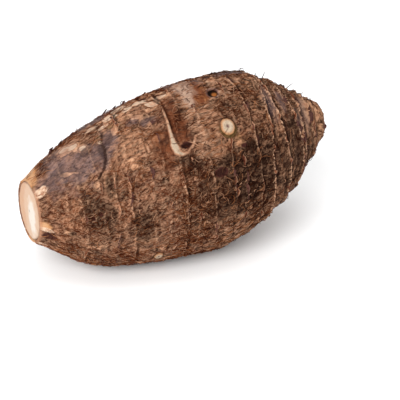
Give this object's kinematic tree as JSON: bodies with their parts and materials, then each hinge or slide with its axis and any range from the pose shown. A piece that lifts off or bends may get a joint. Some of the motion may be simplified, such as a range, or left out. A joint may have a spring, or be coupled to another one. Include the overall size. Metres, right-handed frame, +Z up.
{
  "type": "taro root",
  "caption": "Whole taro corm lying on its side: brown barrel-shaped body with ring scars, a pale round root cut and a blunt trimmed crown.",
  "frame": {"origin": "under the middle of the corm's box, on the surface that it lies on", "axes": "+X along the corm from the root cut to the crown, +Z up, -Y the side with the round bud scar"},
  "size_m": [0.2116, 0.1194, 0.1189],
  "materials": {
    "skin": "dry, rough, fibrous brown skin with ring scars, darker in the grooves",
    "flesh": "fresh cut flesh, cream in the middle and pinkish tan towards the skin, slightly moist",
    "fibre": "dry papery flakes, matted fibres and fine stiff root hairs"
  },
  "bodies": {
    "root": {"taro_corm": "skin"}
  },
  "joints": []
}
